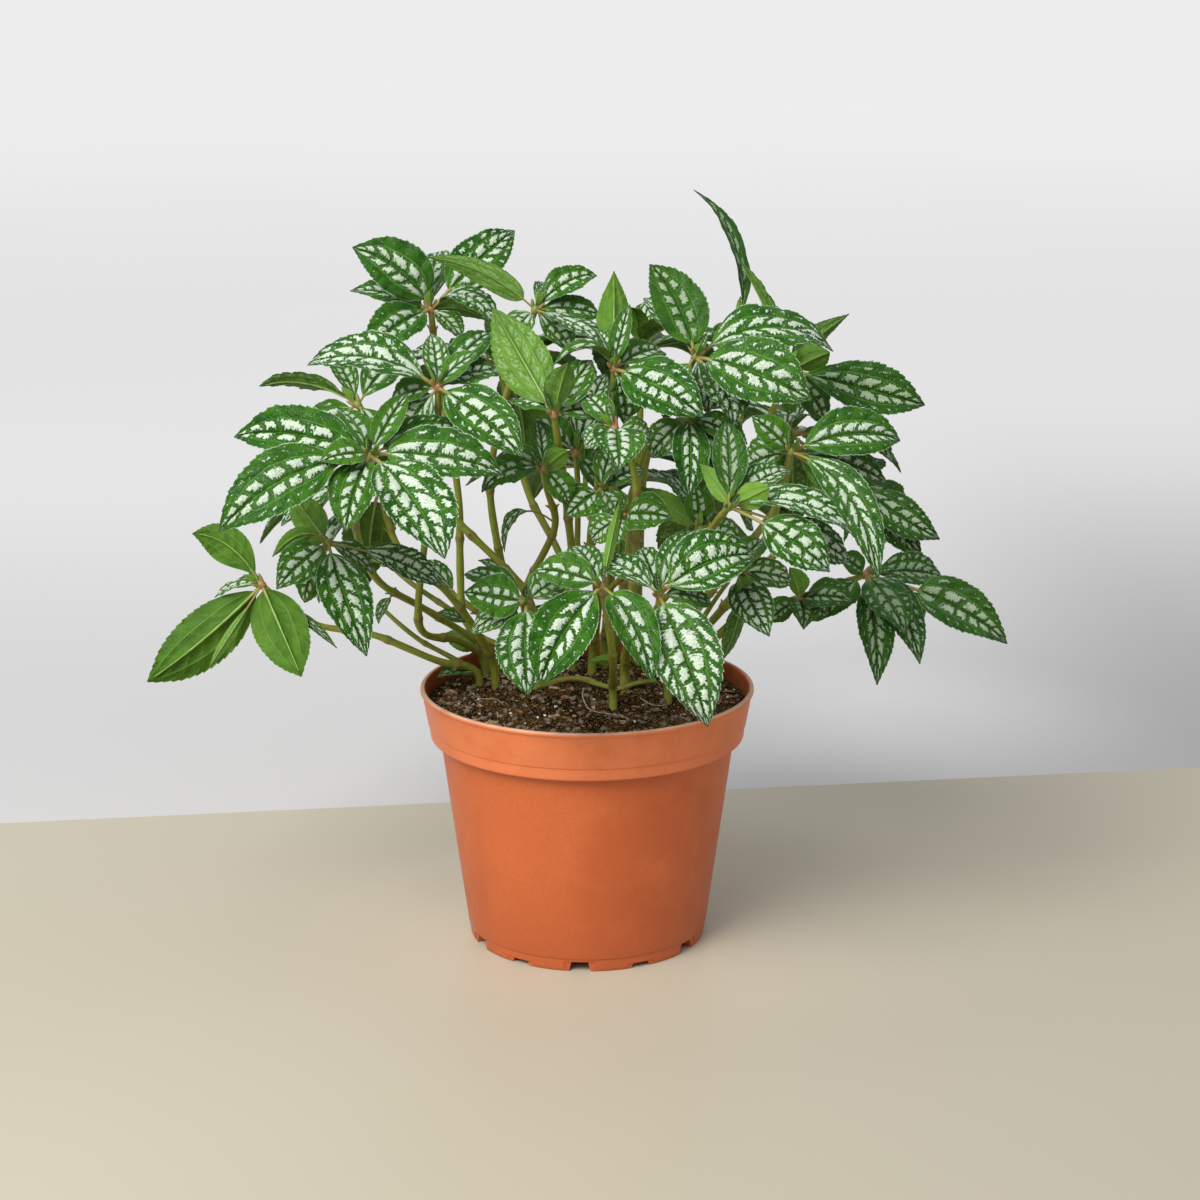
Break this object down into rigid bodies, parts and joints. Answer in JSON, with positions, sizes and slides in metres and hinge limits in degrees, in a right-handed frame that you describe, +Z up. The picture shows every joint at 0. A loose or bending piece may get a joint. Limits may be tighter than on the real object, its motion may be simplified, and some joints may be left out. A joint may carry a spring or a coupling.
{
  "type": "potted foliage plant",
  "caption": "Bushy foliage plant with silver-patterned oval leaves in rosettes on arching stems, growing in soil in a tapered plastic nursery pot with a banded rim.",
  "frame": {"origin": "middle of the object's bounding box across and in depth, on the surface that the pot's foot stands on", "axes": "+Z up, -Y the front of the plant, +X to the right seen from the front and the longest extent"},
  "size_m": [0.3922, 0.3002, 0.3432],
  "materials": {
    "pot_plastic": "satin",
    "potting_soil": "matte",
    "leaf": "satin",
    "stem": "satin"
  },
  "bodies": {
    "root": {"leaves_01": "leaf", "leaves_02": "leaf", "leaves_03": "leaf", "leaves_04": "leaf", "leaves_05": "leaf", "leaves_06": "leaf", "leaves_07": "leaf", "leaves_08": "leaf", "leaves_09": "leaf", "leaves_10": "leaf", "leaves_11": "leaf", "leaves_12": "leaf", "leaves_13": "leaf", "leaves_14": "leaf", "leaves_15": "leaf", "leaves_16": "leaf", "leaves_17": "leaf", "leaves_18": "leaf", "leaves_19": "leaf", "leaves_20": "leaf", "leaves_21": "leaf", "leaves_22": "leaf", "leaves_23": "leaf", "leaves_24": "leaf", "leaves_25": "leaf", "leaves_26": "leaf", "leaves_27": "leaf", "leaves_28": "leaf", "leaves_29": "leaf", "leaves_30": "leaf", "leaves_31": "leaf", "leaves_32": "leaf", "leaves_33": "leaf", "leaves_34": "leaf", "pot": "pot_plastic", "soil": "potting_soil", "stem_01": "stem", "stem_02": "stem", "stem_03": "stem", "stem_04": "stem", "stem_05": "stem", "stem_06": "stem", "stem_07": "stem", "stem_08": "stem", "stem_09": "stem", "stem_11": "stem", "stem_12": "stem", "stem_13": "stem", "stem_14": "stem", "stem_15": "stem", "stem_16": "stem", "stem_17": "stem", "stem_18": "stem", "stem_20": "stem", "stem_21": "stem", "stem_26": "stem", "stem_29": "stem", "stem_30": "stem", "stem_31": "stem", "stem_32": "stem"}
  },
  "joints": []
}
